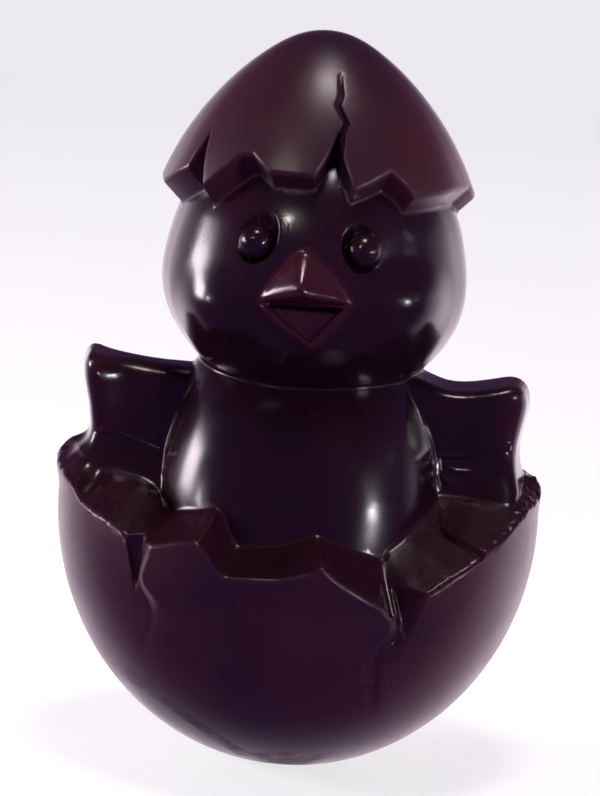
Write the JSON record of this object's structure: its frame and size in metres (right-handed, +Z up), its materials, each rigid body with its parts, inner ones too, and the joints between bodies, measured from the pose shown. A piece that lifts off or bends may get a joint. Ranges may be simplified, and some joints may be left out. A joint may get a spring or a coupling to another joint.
{
  "type": "moulded chocolate chick",
  "caption": "Glossy moulded dark chocolate chick hatching from a cracked egg, with a pointed shell cap on its head and its wings raised above the broken rim.",
  "frame": {"origin": "middle of the small flat spot the figure stands on", "axes": "+Z up through the tip of the shell cap, the chick faces -Y, and +X is to the right of the picture, which is the chick's own left"},
  "size_m": [0.0982, 0.0894, 0.1499],
  "materials": {
    "dark_chocolate": null
  },
  "bodies": {
    "root": {"chocolate_chick": "dark_chocolate"}
  },
  "joints": []
}
